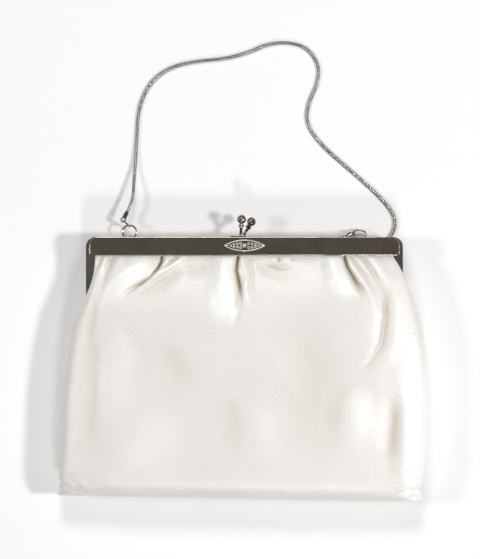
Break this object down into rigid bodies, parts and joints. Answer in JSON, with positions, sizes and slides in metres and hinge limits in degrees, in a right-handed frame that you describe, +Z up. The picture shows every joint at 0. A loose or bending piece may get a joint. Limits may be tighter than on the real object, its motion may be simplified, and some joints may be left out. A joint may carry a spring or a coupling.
{
  "type": "evening clutch",
  "caption": "Gathered satin evening clutch on a hinged metal frame, with a ball clasp, a pierced plaque and a snake chain; it lies on its back.",
  "frame": {"origin": "centre of the base of the clutch's box without the chain and its fittings, on the surface it lies on", "axes": "+X across the frame to the right seen from the front, +Y from the pouch's bottom to the clasp, +Z up from the surface, towards the front panel"},
  "size_m": [0.233, 0.2899, 0.0403],
  "materials": {
    "frame_metal": "polished nickel plate",
    "band_metal": "mirror polished nickel plate, lightly scratched",
    "bright_metal": "polished nickel plate",
    "chain_metal": "nickel plated snake chain",
    "satin": "ivory satin, soft sheen",
    "lining_satin": "plain ivory satin lining"
  },
  "bodies": {
    "back_half": {"back_frame": "frame_metal", "back_band": "band_metal", "hinge_rivet_left": "frame_metal", "hinge_rivet_right": "frame_metal", "hinge_washer_left": "frame_metal", "hinge_washer_right": "frame_metal", "clasp_plate_back": "bright_metal", "clasp_ball_back": "bright_metal", "ring_lug_left": "frame_metal", "ring_lug_right": "frame_metal", "snake_chain": "chain_metal", "front_panel": "satin", "back_panel": "satin", "lining": "lining_satin"},
    "front_half": {"front_frame": "frame_metal", "front_band": "band_metal", "crest_plaque": "bright_metal", "clasp_plate_front": "bright_metal", "clasp_ball_front": "bright_metal"},
    "left_ring": {"ring_left": "bright_metal", "link_left": "bright_metal", "end_cap_left": "bright_metal"},
    "right_ring": {"ring_right": "bright_metal", "link_right": "bright_metal", "end_cap_right": "bright_metal"}
  },
  "joints": [
    {"name": "frame_hinge", "type": "hinge", "parent": "back_half", "child": "front_half", "pos_m": [0, 0.02545, 0.019], "axis": [1, 0, 0], "range_deg": [0, 75], "deforming": ["front_panel", "lining"]},
    {"name": "left_ring_swing", "type": "hinge", "parent": "back_half", "child": "left_ring", "pos_m": [-0.0728, 0.0744, 0.0101], "axis": [1, 0, 0], "range_deg": [-20, 25], "deforming": ["snake_chain"]},
    {"name": "right_ring_swing", "type": "hinge", "parent": "back_half", "child": "right_ring", "pos_m": [0.0728, 0.0744, 0.0101], "axis": [1, 0, 0], "range_deg": [-8, 40], "deforming": ["snake_chain"]}
  ]
}
